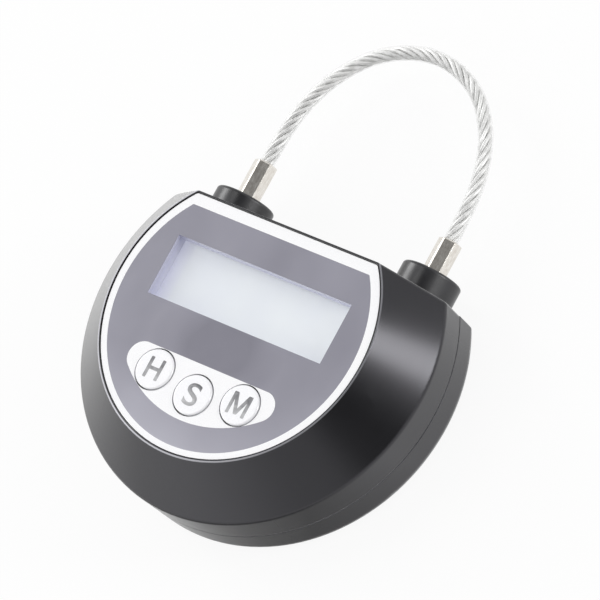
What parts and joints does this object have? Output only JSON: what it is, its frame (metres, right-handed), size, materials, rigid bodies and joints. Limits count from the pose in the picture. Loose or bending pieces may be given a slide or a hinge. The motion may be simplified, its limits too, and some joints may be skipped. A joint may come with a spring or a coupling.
{
  "type": "timer padlock",
  "caption": "Round-bodied electronic timer padlock with a display, three keys and a wire-rope shackle that plugs into two collars; a motor-driven plate latches it until the time runs out.",
  "frame": {"origin": "centre of the case's round outline, on the flat back face that the lock lies on", "axes": "+Z out of the display, +Y towards the shackle, +X from the hour key to the minute key"},
  "size_m": [0.0714, 0.0977, 0.0242],
  "materials": {
    "black_abs": "satin moulded ABS",
    "printed_sheet": "glossy polycarbonate, printed gray and silver",
    "white_plastic": "moulded",
    "clear_lens": "clear, polished",
    "display_cell": "smooth glass cell, blank",
    "light_guide": "milky acrylic",
    "contact_rubber": "layered elastomer",
    "silver_key": "silver painted caps",
    "switch_case": "moulded",
    "plunger_plastic": "moulded",
    "board_laminate": "solder mask over glass laminate",
    "screw_steel": "zinc plated",
    "chip_resin": "moulded resin",
    "tinned_steel": "tin plated sheet",
    "foam_tape": "foam tape",
    "cell_foil": "laminated foil",
    "gear_brass": "machined",
    "ground_steel": "turned and ground",
    "latch_steel": "punched sheet",
    "zinc_casting": "die cast zinc",
    "nickel_plate": "nickel plated, crimped",
    "steel_rope": "galvanised strands under clear coating"
  },
  "bodies": {
    "case": {"front_shell": "black_abs", "back_shell": "black_abs", "case_screws": "screw_steel", "front_panel": "printed_sheet", "lcd_frame": "white_plastic", "window_lens": "clear_lens", "lcd_glass": "display_cell", "backlight": "light_guide", "contact_strips": "contact_rubber", "switch_hour": "switch_case", "switch_set": "switch_case", "switch_minute": "switch_case", "main_board": "board_laminate", "board_screws": "screw_steel", "controller_chip": "chip_resin", "battery_plug": "white_plastic", "motor_plug": "white_plastic", "buzzer": "switch_case", "usb_socket": "tinned_steel", "usb_tongue": "switch_case", "battery_pad": "foam_tape", "battery_cell": "cell_foil", "motor_can": "tinned_steel", "motor_cap": "white_plastic", "motor_gearbox": "gear_brass", "motor_pad": "foam_tape", "socket_block_left": "zinc_casting", "socket_block_right": "zinc_casting", "collar_left": "black_abs", "collar_right": "black_abs"},
    "hour_key": {"key_hour": "silver_key", "plunger_hour": "plunger_plastic"},
    "set_key": {"key_set": "silver_key", "plunger_set": "plunger_plastic"},
    "minute_key": {"key_minute": "silver_key", "plunger_minute": "plunger_plastic"},
    "latch": {"latch_plate": "latch_steel"},
    "pinion": {"motor_shaft": "ground_steel", "drive_pinion": "gear_brass"},
    "shackle": {"pin_left": "ground_steel", "pin_right": "ground_steel", "ferrule_left": "nickel_plate", "ferrule_right": "nickel_plate", "shackle_rope": "steel_rope"}
  },
  "joints": [
    {"name": "shackle_pull", "type": "slide", "parent": "case", "child": "shackle", "axis": [0, 1, 0], "range_m": [0, 0.022]},
    {"name": "latch_slide", "type": "slide", "parent": "case", "child": "latch", "axis": [1, 0, 0], "range_m": [0, 0.003]},
    {"name": "pinion_spin", "type": "hinge", "parent": "case", "child": "pinion", "pos_m": [0.009, 0.00825, 0.009], "axis": [0, -1, 0], "range_deg": [0, 57.3]},
    {"name": "hour_key_press", "type": "slide", "parent": "case", "child": "hour_key", "axis": [0, 0, -1], "range_m": [0, 0.0003], "stiffness_N_per_m": 2000},
    {"name": "set_key_press", "type": "slide", "parent": "case", "child": "set_key", "axis": [0, 0, -1], "range_m": [0, 0.0003], "stiffness_N_per_m": 2000},
    {"name": "minute_key_press", "type": "slide", "parent": "case", "child": "minute_key", "axis": [0, 0, -1], "range_m": [0, 0.0003], "stiffness_N_per_m": 2000}
  ],
  "couplings": [
    {"joint": "pinion_spin", "follows": "latch_slide", "rad_per_m": 333.33}
  ]
}
